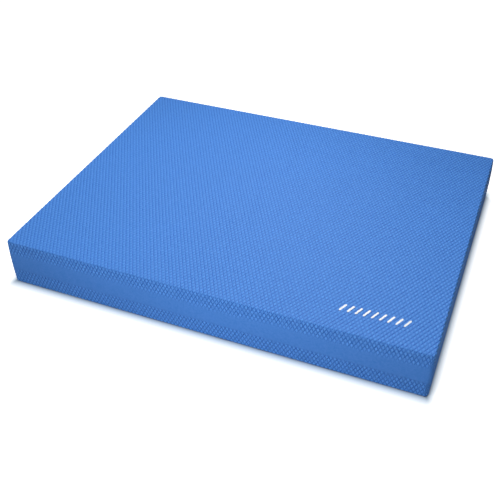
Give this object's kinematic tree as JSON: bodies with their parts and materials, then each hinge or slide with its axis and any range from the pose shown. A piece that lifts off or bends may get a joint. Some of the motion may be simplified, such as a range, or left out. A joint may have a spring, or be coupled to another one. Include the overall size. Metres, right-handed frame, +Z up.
{
  "type": "balance pad",
  "caption": "Rectangular foam balance pad with a diamond-embossed skin, a laminated foam core and a small printed mark, for standing and kneeling exercises.",
  "frame": {"origin": "centre of the underside, on the floor", "axes": "+Z up through the pad's thickness, +X along its long side, -Y towards the front side that the mark is near"},
  "size_m": [0.5, 0.39, 0.06],
  "materials": {
    "skin": "matte",
    "foam": "matte",
    "bond_film": "satin",
    "mark": "satin"
  },
  "bodies": {
    "root": {"top_skin": "skin", "printed_mark": "mark", "upper_foam_layer": "foam", "upper_bond_film": "bond_film", "core_foam_layer": "foam", "lower_bond_film": "bond_film", "lower_foam_layer": "foam", "bottom_skin": "skin"}
  },
  "joints": []
}
